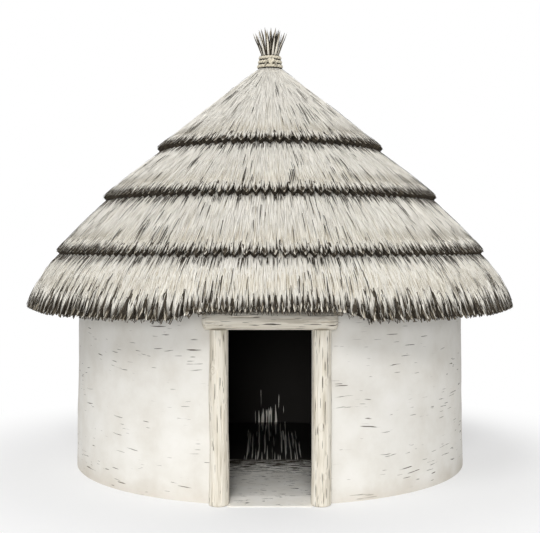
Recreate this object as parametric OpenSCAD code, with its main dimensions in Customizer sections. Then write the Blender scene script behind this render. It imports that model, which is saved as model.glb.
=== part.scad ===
// A rondavel: a round hut with a daubed wall, a log door frame and a stepped cone of thatch.
// Millimetres, +Z up. The origin is the centre of the hut at ground level, and the doorway faces -Y.

/* [Wall] */
// Inside radius of the round wall
wall_inner_r = 2030; // [1850:10:2300]
// Thickness of the wall where it stands on the ground
wall_base_t = 220; // [190:5:280]
// Thickness of the wall at its top
wall_top_t = 180; // [160:5:220]
// Height of the wall
wall_h = 2380; // [2250:10:2700]
// Height of the beaten floor above the ground outside
floor_h = 40; // [20:5:80]

/* [Door frame] */
// Clear width between the door posts at the ground
door_w = 800; // [700:10:950]
// Height from the ground to the underside of the lintel
door_h = 1715; // [1600:1:1850]
// Radius of a door post at the ground
post_base_r = 99; // [85:1:115]
// Radius of a door post under the lintel
post_top_r = 89; // [75:1:100]
// How far the middle of a post stands outside the face of the wall
post_set_out = 36; // [10:1:60]
// How far the wall's jamb is set back behind the face of a post
jamb_set_back = 10; // [0:1:25]
// Radius of the lintel log before it was hewn
lintel_r = 96; // [92:1:110]
// Height of the lintel between its hewn faces
lintel_h = 177; // [150:1:182]
// Rounding at the foot of a post
post_round = 16; // [8:1:24]
// How far the lintel runs on past the posts at each end
lintel_over = 61; // [40:1:90]
// Rounding of the ends of the lintel
lintel_round = 52; // [15:1:60]
// Height of the squared lintel behind the log one
inner_lintel_h = 110; // [90:5:140]
// Length of the inner lintel's bearing in the wall at each side
inner_lintel_bearing = 150; // [100:5:200]
// Depth of daub left between the inner lintel and the room
inner_lintel_cover = 4; // [2:1:20]
// How far the threshold runs out past the middle of the posts
threshold_out = 79; // [50:1:95]
// Height of the threshold's worn outer edge
threshold_edge = 6; // [3:1:10]

/* [Roof frame] */
// Slope of the rafters in degrees
roof_pitch = 41; // [39:0.5:43]
// Number of rafters, every second one of which reaches the crown
rafter_count = 16; // [14:2:20]
// Radius of a rafter at the eaves
rafter_butt_r = 42; // [36:1:48]
// Radius of a rafter at the crown
rafter_tip_r = 30; // [26:1:34]
// Distance from the end of the rafters to the edge of the eaves
rafter_set_in = 260; // [240:5:320]
// Distance from the axis to the upper end of the short rafters
short_rafter_r = 400; // [380:5:440]
// Depth of the notch that seats a rafter on the wall plate
seat_depth = 15; // [5:1:20]
// Radius of the poles of the wall plate
plate_r = 50; // [42:1:56]
// Distance from the inside of the wall to the wall plate
plate_set_in = 30; // [20:1:36]
// Radius of the crown block that the main rafters lean on
crown_r = 105; // [100:1:115]
// Length of the crown block below the rafters' middle line
crown_drop = 110; // [70:5:160]
// Length of the crown block above the rafters
crown_cover = 20; // [10:1:30]
// Chamfer at the foot of the crown block
crown_chamfer = 18; // [5:1:25]
// Radius of a batten
batten_r = 16; // [13:1:19]
// Distance between two battens, measured level
batten_step = 330; // [300:5:360]
// Distance from the lowest batten to the edge of the eaves
batten_set_in = 340; // [330:5:380]
// Least distance from the upper ends of the short rafters to the highest batten
top_batten_gap = 60; // [40:5:100]

/* [Thatch] */
// How far the eaves reach past the foot of the wall
eave_overhang = 550; // [480:10:620]
// Level run of the eaves course that shows
eave_run = 332; // [300:2:380]
// Level run of the third course that shows
third_run = 531; // [480:2:580]
// Level run of the second course that shows
second_run = 621; // [570:2:680]
// Height of the top course's hem above the bed of the thatch
top_lift = 346; // [330:2:380]
// Height of the second course's hem above the bed of the thatch
second_lift = 318; // [300:2:340]
// Height of the third course's hem above the bed of the thatch
third_lift = 171; // [160:1:185]
// Drop of the eaves' hem below the line of the bed
eave_droop = 155; // [120:1:180]
// Height of the neck of the thatch above the peak of the bed
neck_lift = 128; // [120:1:150]
// Thickness of a hem, measured upright
hem_step = 80; // [70:1:86]
// Thickness of the thatch at the eaves, measured level
eave_butt = 160; // [130:5:180]
// Rise of the cut end of the eaves from its outer to its inner edge
eave_rise = 12; // [0:1:40]
// How far the bed of the thatch runs on past the ends of the rafters
bed_past_rafters = 52; // [45:1:60]
// Length of a course that is hidden under the one above, measured level
head_lap = 450; // [400:10:500]
// Width of one bundle of thatch at a hem
bundle_w = 96; // [80:2:120]
// Mean depth of the notch between two bundles
notch_depth = 92; // [70:2:110]
// Mean depth of the notch between two bundles at the eaves
eave_notch_depth = 165; // [120:5:180]
// Height above the lintel at which the hem is trimmed over the doorway
door_trim_gap = 30; // [15:1:60]
// How far the trimmed stretch runs past each end of the lintel
door_trim_side = 0; // [-40:5:60]
// Width over which the hem falls to its full depth at each side of the trimmed stretch
door_trim_slope = 320; // [200:10:500]
// Width of one bundle in the trimmed stretch
door_bundle_w = 50; // [40:2:80]
// Mean depth of the notch between two bundles in the trimmed stretch
door_notch_depth = 80; // [50:5:100]
// Shallowest notch at a hem, as a share of the mean depth
shallow_notch = 0.62; // [0.4:0.02:0.8]
// Deepest notch at a hem, as a share of the mean depth
deep_notch = 1.3; // [1.1:0.02:1.4]

/* [Finial] */
// Radius of the sheaf of grass that stands on the crown
sheaf_r = 125; // [120:1:135]
// Radius of the rope that binds the sheaf
rope_r = 27; // [22:1:30]
// Number of turns of the rope
rope_turns = 3; // [2:1:4]
// How much each turn draws in from the one below
rope_draw = 9; // [4:1:12]
// Height of the tuft above the rope
tuft_h = 338; // [280:2:400]
// Radius of the tuft at its tips
tuft_r = 211; // [180:1:230]
// How far the tips of the outer blades lie below those of the inner ones
tuft_rim_drop = 50; // [20:2:80]
// Number of outer blades round the tuft
tuft_blades = 15; // [11:1:19]
// Number of inner blades
inner_tuft_blades = 10; // [7:1:13]
// Thickness of a blade where it leaves the rope
blade_t = 27; // [20:1:32]
// Radius of the rope's ends in the knot
knot_r = 15; // [11:1:18]
// Length of each loop of the knot
knot_l = 42; // [30:1:50]

/* [Hidden] */
// Clearance between pieces that rest on each other
fit = 0.3;
// Fineness of small round shapes and of the hut's own big circles
$fn = 72;
ring_fn = 256;
// A size larger than the hut, for cutting away a whole side, and how far a small cut runs past a face
beyond = 8000;
past_face = 1;

wall_base_r = wall_inner_r + wall_base_t;
wall_top_r = wall_inner_r + wall_top_t;
wall_parts = 6;
wall_part_angle = 360 / wall_parts;
floor_r = wall_inner_r - fit;

// The door frame stands in the front of the wall
door_angle = 270;
post_x = door_w / 2 + post_base_r;
post_y = -sqrt(pow(wall_base_r, 2) - pow(post_x, 2)) - post_set_out;
jamb_x = door_w / 2 + jamb_set_back;
over_door_angle = 2 * asin(jamb_x / wall_inner_r);
lintel_half = post_x + post_base_r + lintel_over;
lintel_top = door_h + lintel_h;
lintel_round_step = 30;
inner_lintel_front = post_y + lintel_r + fit;
inner_lintel_back = -wall_inner_r - inner_lintel_cover;
inner_lintel_half = jamb_x + inner_lintel_bearing;
threshold_nose = 12;
threshold_lap = 60;

// The rafters run in upright planes through the axis, one at each side of a bay
bay = 360 / rafter_count;
half_bay = bay / 2;
eave_r = wall_base_r + eave_overhang;
rafter_end_r = eave_r - rafter_set_in;
bed_end_r = rafter_end_r + bed_past_rafters;
plate_axis_r = wall_inner_r + plate_set_in + plate_r;
plate_axis_z = wall_h + plate_r;
seat_z = plate_axis_z + (rafter_rad(plate_axis_r) + plate_r - seat_depth) / cos(roof_pitch);
top_batten_r = short_rafter_r + top_batten_gap;
batten_rings = floor((eave_r - batten_set_in - top_batten_r) / batten_step) + 1;

// Radius of a rafter at a distance from the axis of the hut
function rafter_rad(r) =
    rafter_butt_r - (rafter_butt_r - rafter_tip_r) * (rafter_end_r - r) / (rafter_end_r - crown_r);
// Height of a rafter's middle line
function axis_z(r) = seat_z - tan(roof_pitch) * (r - plate_axis_r);
// A batten crosses a rafter on the skew, so its middle line lies a little further off than two radii
skew = sqrt(pow(sin(roof_pitch), 2) + pow(cos(roof_pitch) * cos(half_bay), 2)) / cos(half_bay);
// Height of a batten's middle line where it crosses a rafter
function batten_z(r) =
    axis_z(r) + (rafter_rad(r) + batten_r + fit) * skew / cos(roof_pitch);

// The bed of the thatch in one bay is the flat plane over its battens, and x is the level distance
// from the axis along the middle of the bay
bed_fall = (batten_z(0) - batten_z(eave_r)) / (eave_r * cos(half_bay));
bed_angle = atan(bed_fall);
bed_peak = batten_z(0) + (batten_r + fit) / cos(bed_angle);
function bed_z(x) = bed_peak - bed_fall * x;

// Courses of thatch, from the top one down
EAVES = 3;
third_hem_r = eave_r - eave_run;
second_hem_r = third_hem_r - third_run;
top_hem_r = second_hem_r - second_run;
hem_r = [top_hem_r, second_hem_r, third_hem_r, eave_r];
hem_lift = [top_lift, second_lift, third_lift, -eave_droop];
hem_z = [for (i = [0:EAVES]) bed_z(hem_r[i]) + hem_lift[i]];
neck_z = bed_peak + neck_lift;
course_start_r = [for (i = [0:EAVES]) i == 0 ? sheaf_r : hem_r[i - 1]];
course_start_z = [for (i = [0:EAVES]) i == 0 ? neck_z : hem_z[i - 1] - hem_step];
// How far the face of each course swells out of its chord, and the number of bands it is turned in
course_bulge = [7, 19, 16, 75];
face_bands = [4, 4, 4, 6];
// The hidden head of a course, the level length of its slanted end, and the gap between two lanes
head_bands = 4;
head_bevel = 150;
lane_gap_angle = 0.02;
// A section runs on this far past the bed, which then cuts it off
cut_allowance = 60;
// How far the eaves' inner face starts below the end of the bed
bed_end_cut = 5;
// The hem over the doorway is cut to this height, and slopes down at both sides
trim_z = lintel_top + door_trim_gap;
trim_half = lintel_half + door_trim_side;
trim_foot_half = trim_half + door_trim_slope;
// The share of a hem that is notch, and how far a notch runs on past the hem
notch_share = 0.94;
notch_past = 60;
notch_seed = 40;
door_notch_seed = 7;

// Height of a course's outer face, a chord with a slight bulge
function course_z(i, r) =
    let (t = (r - course_start_r[i]) / (hem_r[i] - course_start_r[i]))
    course_start_z[i] + (hem_z[i] - course_start_z[i]) * t + 4 * course_bulge[i] * t * (1 - t);
// Slope of the outer face at the hem, in degrees
function hem_angle(i) =
    let (back = 20)
    atan((course_z(i, hem_r[i] - back) - hem_z[i]) / back);
// Where the cut end of a course meets the course below
function hem_foot_r(i) = hem_r[i] - hem_step * sin(hem_angle(i)) * cos(hem_angle(i));
function head_r(i) = hem_r[i - 1] - head_lap;
// Evenly spaced values from a to b, both ends included
function steps(a, b, n) = [for (k = [0:n]) a + (b - a) * k / n];

// The finial
turn_overlap = 4;
rope_bite = 1;
turn_rise = 2 * rope_r - turn_overlap;
turn_r = [for (k = [0:rope_turns - 1]) sheaf_r - rope_bite - rope_draw * k];
turn_z = [for (k = [0:rope_turns - 1]) neck_z + fit + rope_r + turn_rise * k];
binding_top = turn_z[rope_turns - 1] + rope_r;
turn_slant = atan(rope_draw / turn_rise);
waist_gap = (rope_r + fit) / cos(turn_slant);
waist_r = turn_r[rope_turns - 1] - waist_gap;
tuft_foot = binding_top + fit;
// The stems spread over the rope, and their packed middle ends in a low cone inside the blades
spread_h = 20;
spread_w = 26;
flare_r = waist_r + spread_w;
heart_spread = 18;
heart_h = 150;
// Shallowest and deepest gap between two blades, as shares of their height, and how far a gap is cut
// past their tips; the inner ring is turned so that its blades show between the outer ones
blade_gap = [0.45, 0.8];
blade_cut = 1.1;
inner_ring_turn = 9;
blade_seed = 7;
// Slant of the knot's two loops, the distance of their middles from the knot's own,
// and how far they stand out
knot_tilt = 72;
knot_half = 17;
knot_proud = 4;
crown_axis_z = axis_z(crown_r);
crown_top = crown_axis_z + rafter_tip_r / cos(roof_pitch) + crown_cover;

// Names of the nodes
function numbered(stem, n) = [for (k = [1:n]) str(stem, k)];
wall_names = [
    "wall_right", "wall_back_right", "wall_back_left",
    "wall_left", "wall_front_left", "wall_front_right"];
course_names = [
    "thatch_top_course", "thatch_second_course",
    "thatch_third_course", "thatch_eaves_course"];

DAUB = [0.89, 0.86, 0.79];
EARTH = [0.76, 0.70, 0.60];
LOG = [0.80, 0.74, 0.63];
POLE = [0.58, 0.49, 0.37];
STRAW = [0.87, 0.80, 0.62];
ROPE = [0.80, 0.71, 0.52];

// Floor and wall

module earth_floor() {
    color(EARTH) cylinder(r = floor_r, h = floor_h, $fn = ring_fn);
}

// The floor runs out between the jambs and falls to the ground between the posts
module threshold() {
    front = -post_y + threshold_out;
    back = -wall_inner_r + threshold_lap;
    color(EARTH)
        difference() {
            rotate([90, 0, 90])
                linear_extrude(height = 2 * (jamb_x - fit), center = true)
                    polygon([
                        [-front, 0],
                        [-front, threshold_edge],
                        [-front + threshold_nose, threshold_nose],
                        [-wall_inner_r, floor_h],
                        [back, floor_h],
                        [back, 0]
                    ]);
            translate([0, 0, -past_face])
                cylinder(r = wall_inner_r, h = floor_h + 2 * past_face, $fn = ring_fn);
            door_posts(fit);
        }
}

module wall_ring(from, to, z0, z1) {
    base_t = wall_base_t + (wall_top_t - wall_base_t) * z0 / wall_h;
    rotate([0, 0, from])
        rotate_extrude(angle = to - from, $fn = ring_fn)
            polygon([
                [wall_inner_r, z0],
                [wall_inner_r + base_t, z0],
                [wall_top_r, z1],
                [wall_inner_r, z1]
            ]);
}

// The doorway through the wall, with the hollows that hold its timbers
module doorway() {
    translate([-jamb_x, -beyond, -past_face]) cube([2 * jamb_x, beyond, beyond]);
    door_posts(fit);
    lintel_log(fit);
    inner_lintel_beam(fit);
}

module wall_part(k) {
    from = -wall_part_angle / 2 + k * wall_part_angle;
    at_door = k >= wall_parts - 2;
    color(DAUB)
        difference() {
            wall_ring(from, from + wall_part_angle, 0, wall_h);
            if (at_door) doorway();
        }
}

module wall_over_door() {
    color(DAUB)
        difference() {
            intersection() {
                wall_ring(door_angle - over_door_angle, door_angle + over_door_angle, lintel_top, wall_h);
                translate([-jamb_x, -beyond, 0]) cube([2 * jamb_x, beyond, beyond]);
            }
            lintel_log(fit);
        }
}

// Door frame

module post_log(side, grow) {
    translate([side * post_x, post_y, 0])
        rotate_extrude()
            polygon([
                [0, 0],
                [post_base_r - post_round / 2 + grow, 0],
                [post_base_r + grow, post_round],
                [post_top_r + grow, door_h],
                [0, door_h]
            ]);
}

module door_posts(grow) {
    post_log(-1, grow);
    post_log(1, grow);
}

module door_post_left() {
    color(LOG) post_log(-1, 0);
}

module door_post_right() {
    color(LOG) post_log(1, 0);
}

// A log with rounded ends, hewn flat above and below
module lintel_log(grow) {
    half = lintel_half + grow;
    r = lintel_r + grow;
    straight = half - lintel_round;
    function draw_in(a) = r - lintel_round * (1 - cos(a));
    translate([0, post_y, door_h + lintel_h / 2])
        intersection() {
            rotate([0, 90, 0])
                rotate_extrude()
                    polygon(concat(
                        [[0, -half]],
                        [for (a = [-90:lintel_round_step:0]) [draw_in(a), lintel_round * sin(a) - straight]],
                        [for (a = [0:lintel_round_step:90]) [draw_in(a), straight + lintel_round * sin(a)]],
                        [[0, half]]));
            cube([2 * (half + past_face), 2 * (r + past_face), lintel_h + 2 * grow], center = true);
        }
}

module lintel() {
    color(LOG) lintel_log(0);
}

module inner_lintel_beam(grow) {
    translate([-inner_lintel_half - grow, inner_lintel_front - grow, lintel_top - inner_lintel_h - grow])
        cube([
            2 * (inner_lintel_half + grow),
            inner_lintel_back - inner_lintel_front + 2 * grow,
            inner_lintel_h + 2 * grow
        ]);
}

module inner_lintel() {
    color(POLE) inner_lintel_beam(0);
}

// Roof frame

module at_bay_side(k) {
    rotate([0, 0, half_bay + k * bay]) children();
}

// A pole of the wall plate lies under each rafter, and the poles butt at the middle of each bay
module plate_pole(grow, shorten) {
    half = plate_axis_r * tan(half_bay) - plate_r * tan(half_bay) - shorten;
    translate([plate_axis_r, 0, plate_axis_z])
        rotate([90, 0, 0])
            cylinder(r = plate_r + grow, h = 2 * half, center = true);
}

module wall_plate() {
    color(POLE)
        for (k = [0:rafter_count - 1])
            at_bay_side(k) plate_pole(0, fit);
}

// A tapered pole from the eaves up to the distance top_r from the axis
module rafter(k, top_r) {
    length = (rafter_end_r - top_r) / cos(roof_pitch);
    color(POLE)
        at_bay_side(k)
            difference() {
                translate([rafter_end_r, 0, axis_z(rafter_end_r)])
                    rotate([0, roof_pitch - 90, 0])
                        cylinder(r1 = rafter_butt_r, r2 = rafter_rad(top_r), h = length);
                plate_pole(fit, 0);
                cylinder(r = crown_r + fit, h = beyond);
            }
}

module main_rafter(k) {
    rafter(2 * k, crown_r - rafter_tip_r);
}

module short_rafter(k) {
    rafter(2 * k + 1, short_rafter_r);
}

module crown_block() {
    color(POLE)
        translate([0, 0, crown_axis_z - crown_drop])
            rotate_extrude()
                polygon([
                    [0, 0],
                    [crown_r - crown_chamfer, 0],
                    [crown_r, crown_chamfer],
                    [crown_r, crown_top - crown_axis_z + crown_drop],
                    [0, crown_top - crown_axis_z + crown_drop]
                ]);
}

// One batten spans each bay, and its ends lie on the two rafters
module batten_ring(k) {
    r = eave_r - batten_set_in - k * batten_step;
    half = (r - batten_r) * sin(half_bay) - fit;
    color(POLE)
        for (j = [0:rafter_count - 1])
            rotate([0, 0, j * bay])
                translate([r * cos(half_bay), 0, batten_z(r)])
                    rotate([90, 0, 0])
                        cylinder(r = batten_r, h = 2 * half, center = true);
}

// Thatch

// Cross-section of a course, from its hidden head to its hem; the part below the bed is cut away
function own_top(i) = concat(
    i == 0
        ? [[sheaf_r + fit, neck_z]]
        : [for (r = steps(head_r(i), hem_r[i - 1], head_bands)) [r, course_z(i - 1, r) - hem_step]],
    [
        for (r = steps(course_start_r[i], hem_r[i], face_bands[i]))
            if (r > course_start_r[i]) [r, course_z(i, r)]
    ]);
function seat_on_next(i) = [
    for (r = steps(hem_foot_r(i), head_r(i + 1), head_bands)) [r, course_z(i, r) - hem_step + fit]];
function under_bed(r) = [r, bed_z(r) - cut_allowance];
function head_end(i) = under_bed(head_r(i) - head_bevel);
// The cut end of the eaves, and the inner face that hangs past the ends of the rafters
eave_hem = [
    [eave_r - eave_butt, hem_z[EAVES] + eave_rise],
    [bed_end_r, bed_z(bed_end_r) - bed_end_cut],
    under_bed(head_r(EAVES))];
function course_profile(i) = concat(
    own_top(i),
    i == EAVES ? eave_hem : concat(seat_on_next(i), [head_end(i + 1) - [fit, 0]]),
    [i == 0 ? under_bed(sheaf_r + fit) : head_end(i)]);

// Everything under the plane of the battens, out to the distance x_end
module below_bed(x_end) {
    translate([x_end, 0, bed_z(x_end)])
        rotate([0, bed_angle, 0])
            translate([-beyond, -beyond / 2, -beyond])
                cube([beyond, beyond, beyond]);
}

// Whether an angle round the hut lies within a distance of the middle of the doorway, or near that
function at_door(angle, half, margin) = abs(angle - door_angle) < asin(half / eave_r) + margin;

// A notch that narrows to a point at the depth d; the hem is at 0, and the notch runs on past it
module notch(d, half_w, thick) {
    past_half_w = half_w * (1 + notch_past / d);
    linear_extrude(height = thick, center = true)
        polygon([[-d, 0], [notch_past, -past_half_w], [notch_past, past_half_w]]);
}

// The gaps between the bundles at the hem of course i in one lane; two lanes share the gap between them
module hem_notches(i, lane) {
    lane_w = hem_r[i] * bay * PI / 180;
    n = round(lane_w / bundle_w);
    depth = i == EAVES ? eave_notch_depth : notch_depth;
    half_thick = i == EAVES ? eave_butt : hem_step;
    depths = rands(shallow_notch, deep_notch, n, notch_seed * i + lane);
    for (j = [0:n]) {
        turn = -half_bay + j * bay / n;
        d = depth * (j % n == 0 ? 1 : depths[j]);
        if (i < EAVES || !at_door(lane * bay + turn, trim_half, 0))
            rotate([0, 0, turn])
                translate([hem_r[i], 0, hem_z[i]])
                    rotate([0, hem_angle(i), 0])
                        notch(d, lane_w / n / 2 * notch_share, 2 * half_thick + notch_past);
    }
}

// The hem is trimmed short over the doorway, clear of the lintel, and has narrower bundles there
module door_trim() {
    n = round(2 * trim_half / door_bundle_w);
    step = 2 * trim_half / n;
    depths = rands(shallow_notch, deep_notch, n, door_notch_seed);
    rotate([90, 0, 0])
        linear_extrude(height = beyond)
            polygon([
                [-trim_foot_half, 0],
                [-trim_foot_half, hem_z[EAVES]],
                [-trim_half, trim_z],
                [trim_half, trim_z],
                [trim_foot_half, hem_z[EAVES]],
                [trim_foot_half, 0]
            ]);
    for (j = [1:n - 1])
        translate([-trim_half + j * step, -eave_r, trim_z])
            rotate([0, 90, 90])
                notch(door_notch_depth * depths[j], step / 2 * notch_share, 2 * (eave_r - rafter_end_r));
}

// A lane is the thatch of one course over one bay
module thatch_lane(i, lane) {
    turn = lane * bay;
    rotate([0, 0, turn])
        difference() {
            rotate([0, 0, -half_bay + lane_gap_angle / 2])
                rotate_extrude(angle = bay - lane_gap_angle, $fn = ring_fn)
                    polygon(course_profile(i));
            below_bed(i == EAVES ? bed_end_r * cos(half_bay) : eave_r);
            hem_notches(i, lane);
            if (i == EAVES && at_door(turn, trim_foot_half, half_bay)) rotate([0, 0, -turn]) door_trim();
        }
}

module thatch_course(i) {
    color(STRAW)
        for (lane = [0:rafter_count - 1])
            thatch_lane(i, lane);
}

// Finial

// Pointed blades of grass that lean outward in a ring, thick at the foot and half as thick at the tip
module blade_ring(count, base_r, tip_r, base_z, tip_z, turn) {
    h = tip_z - base_z;
    half_w = PI * tip_r / count;
    gaps = rands(blade_gap[0], blade_gap[1], count, blade_seed * count);
    difference() {
        rotate_extrude()
            polygon([
                [base_r - blade_t, base_z],
                [base_r, base_z],
                [tip_r, tip_z],
                [tip_r - blade_t / 2, tip_z],
                [base_r - blade_t, base_z + h / 3]
            ]);
        for (k = [0:count - 1]) {
            d = h * gaps[k];
            cut = [half_w, d] * blade_cut;
            rotate([0, 0, turn + k * 360 / count])
                translate([0, 0, tip_z - d])
                    rotate([90, 0, 90])
                        linear_extrude(height = 2 * tip_r)
                            polygon([[0, 0], cut, [-cut[0], cut[1]]]);
        }
    }
}

// The sheaf stands on the crown, is drawn in by the rope and spreads into blades above it
module finial_tuft() {
    tip_z = binding_top + tuft_h;
    blade_z = tuft_foot + spread_h;
    color(STRAW) {
        rotate_extrude()
            polygon(concat(
                [[0, crown_top + fit], [sheaf_r, crown_top + fit], [sheaf_r, neck_z]],
                [[turn_r[0] - waist_gap, neck_z]],
                [for (k = [0:rope_turns - 1]) [turn_r[k] - waist_gap, turn_z[k]]],
                [[waist_r, tuft_foot], [flare_r, blade_z]],
                [[flare_r + heart_spread, blade_z + heart_spread * 2], [0, binding_top + heart_h]]));
        blade_ring(tuft_blades, flare_r, tuft_r, blade_z, tip_z - tuft_rim_drop, 0);
        blade_ring(inner_tuft_blades, flare_r - blade_t, tuft_r / 2, blade_z, tip_z, inner_ring_turn);
    }
}

module finial_binding() {
    knot_z = turn_z[floor(rope_turns / 2)];
    knot_y = -turn_r[floor(rope_turns / 2)] - rope_r;
    color(ROPE) {
        for (k = [0:rope_turns - 1])
            translate([0, 0, turn_z[k]])
                rotate_extrude() translate([turn_r[k], 0]) circle(r = rope_r);
        for (side = [-1, 1])
            translate([side * knot_half, knot_y - knot_proud, knot_z])
                rotate([0, side * knot_tilt, 0]) {
                    cylinder(r = knot_r, h = knot_l, center = true);
                    translate([0, 0, knot_l / 2]) sphere(r = knot_r);
                }
    }
}

earth_floor();
threshold();
for (k = [0:wall_parts - 1])
    wall_part(k);
wall_over_door();
door_post_left();
door_post_right();
lintel();
inner_lintel();
wall_plate();
for (k = [1:rafter_count / 2])
    main_rafter(k - 1);
for (k = [1:rafter_count / 2])
    short_rafter(k - 1);
crown_block();
for (k = [1:batten_rings])
    batten_ring(k - 1);
for (i = [0:EAVES])
    thatch_course(i);
finial_tuft();
finial_binding();
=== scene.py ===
from dataclasses import dataclass
from math import asin, cos, hypot, pi, radians, sin, sqrt, tau

import bpy
import numpy as np
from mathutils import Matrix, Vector, noise
from mathutils.bvhtree import BVHTree


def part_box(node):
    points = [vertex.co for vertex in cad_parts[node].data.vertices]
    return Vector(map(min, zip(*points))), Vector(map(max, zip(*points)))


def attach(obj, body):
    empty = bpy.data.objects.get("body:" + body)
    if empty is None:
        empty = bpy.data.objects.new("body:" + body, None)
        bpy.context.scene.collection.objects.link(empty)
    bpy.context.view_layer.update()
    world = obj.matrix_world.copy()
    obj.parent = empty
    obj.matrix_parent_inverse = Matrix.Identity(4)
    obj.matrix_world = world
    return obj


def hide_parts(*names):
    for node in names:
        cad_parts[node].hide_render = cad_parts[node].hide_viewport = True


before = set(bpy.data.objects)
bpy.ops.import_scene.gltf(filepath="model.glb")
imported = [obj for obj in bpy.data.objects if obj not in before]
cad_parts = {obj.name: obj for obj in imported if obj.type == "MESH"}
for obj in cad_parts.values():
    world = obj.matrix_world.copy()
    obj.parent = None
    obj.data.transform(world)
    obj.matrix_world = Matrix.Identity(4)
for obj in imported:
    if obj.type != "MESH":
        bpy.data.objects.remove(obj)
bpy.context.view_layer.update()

# Lengths are in metres and azimuths in radians round the hut. A pair is the least and the most of a random
# draw. A taper is the width of a blade from its root towards its tip, as shares.
COURSES = ("thatch_top_course", "thatch_second_course", "thatch_third_course", "thatch_eaves_course")
BAYS = sum("rafter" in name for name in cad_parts)
BAY = tau / BAYS
FRONT = -pi / 2

# Where the first course starts to show, and the hems, close to those of the part
PEAK_R = 0.13
BUNDLE_W = 0.096
DOOR_NOTCH = 0.11
DOOR_TOOTH_W = 0.0507
DOOR_TRIM_GAP = 0.036
DOOR_TRIM_SLOPE = 0.32

# Rays that find a face and the line of its hem, and how far the face is carried on past both ends
FAR_ABOVE = 10.0
UNDER_HEM = 0.06
OFF_SHEAF = 0.001
INSIDE_HEM = 0.002
FACE_SAMPLES = 34
BEFORE = 0.4
AFTER = 0.3
LEAST_R = 0.02
DEEPEST_NOTCH = 0.5
PROBE_LIFT = 0.03
PROBE_REACH = 0.05
LINE_STEP = 0.009
LINE_SAMPLES = 8
PAST_SEAM = 0.0004

# Blades of grass. A tone is 0 where a blade is dark and 1 where it is pale.
STEM_BOW = 0.003
STEM_TAPER = (0.75, 1.0)
NO_TAPER = (1.0, 1.0)
TIP_RING_SHARE = 0.6
TONE_SPREAD = 0.05

# Stems of the field
FIRST_ROW = 0.04
ROW_STEP = 0.12
STEM_PITCH = 0.0085
STEM_L = 0.46
STEM_W = (0.007, 0.012)
STEM_DEPTH = (-0.001, 0.006)
STEM_LEAN = 0.01
STEM_TONE = 0.96
ROOT_SINK = 0.004
TIP_RISE = 0.001
PEAK_ROOT = -0.02
HIDDEN_ROOT = -0.15
CROWDED_R = 0.3
PEAK_NARROWING = 0.45

# Teeth and cut ends of the hems
TOOTH_STEM_PITCH = 0.0065
TOOTH_STEM_W = (0.006, 0.01)
TOOTH_LIFT = (0.006, 0.012)
TOOTH_SINK = 0.008
TOOTH_BOW = 0.007
TOOTH_TONE = 0.93
TOOTH_CURVE = 1.35
TOOTH_SWING = 0.22
SHADE_PITCH = 0.004
SHADE_W = (0.008, 0.012)
CUT_PITCH = 0.01
CUT_W = (0.009, 0.015)
CUT_L = (0.12, 0.2)
WALL_BLADE_OFF = (0.001, 0.004)
WALL_TIP_DROP = 0.008
WALL_TIP_SPREAD = 0.07
TIP_SHARE = 0.06
WEDGE_LIFT = 0.012
WEDGE_RISE = 0.003
WEDGE_T = 0.004
WEDGE_TAPER = (1.0, 0.55)

# Dark stalks on the faces, and under each hem more of them as its painted shadow
STALKS_PER_M2 = 11
MOST_TOGETHER = 4
STALK_ASIDE = 0.06
STALK_ALONG = 0.09
STALK_L = (0.08, 0.3)
STALK_W = (0.005, 0.009)
STALK_LIFT = (0.008, 0.012)
SHADED_PITCH = 0.02
SHADED_LEAST = 0.02
SHADED_MORE = 0.055
SHADED_MOST = 0.32

# Tuft. The sheaf is (distance from the axis, height from the foot or from the top of the binding).
SHEAF_LOW = ((0.108, -0.06), (0.09, 0.02))
SHEAF_HIGH = ((0.08, -0.03), (0.1, 0.012))
SPIKE_SAG = ((0.5, 0.004), (0.86, 0.002), (1.0, 0.0))
SPIKE_BLADES = 7
SPIKE_SHORTER = 0.11
SPIKE_W = (0.014, 0.02)
SPIKE_TAPER = (1.0, 1.0, 1.0, 1.0, 1.0, 0.8)
RIM_SPIKES = 14
RIM_DROP = 0.05
INNER_SPIKES = 9
INNER_SHARE = 0.55
LOOSE_BLADES = 40
LOOSE_W = (0.006, 0.01)
CORE_SIDES = 96
CORE_FLUTES = 24
CORE_TONE = 0.12

# Rope
ROPE_R = 0.027
ROPE_TURNS = 3
ROPE_DRAW = 0.009
ROPE_PITCH = 0.1
ROPE_STRANDS = 3
STRAND_OFF = 0.46
STRAND_R = 0.58
STRAND_SIDES = 8
TURN_SAMPLES = 120
KNOT_X = 0.01
KNOT_PROUD = 0.004
KNOT_HALF = (0.034, 0.018, 0.026)
KNOT_ROPE_R = 0.0125
KNOT_SIDES = 10
KNOT_SAMPLES = 64
KNOT_TAIL = ((0.02, 0.0, 0.0), (0.045, -0.012, -0.01), (0.062, -0.01, -0.034), (0.066, -0.004, -0.058))
TAIL_R = 0.01
ROPE_DEPTH = 0.8

# Logs. Unevenness is (waves round, waves along, shift for each seed, height), crook how far the middle
# strays to each side, and rounding (foot, top).
LOG_STEP = 0.011
LOG_SIDES = 72
LOG_LEAST_R = 0.004
LOG_UNEVEN = ((1.2, 1.6, 7.7, 0.007), (6.5, 1.4, 2.3, 0.0035), (16, 3.0, 1.0, 0.0018))
LOG_CROOK = (0.01, 0.007)
CRACK_DEPTH = 0.01
CRACK_HALF_W = 0.008
CRACK_FADE = 0.05
GRAIN_R = 0.09
POST_TAPER = 0.01
POST_ROUNDING = (0.02, 0.0)
LINTEL_ROUNDING = (0.052, 0.052)

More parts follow.
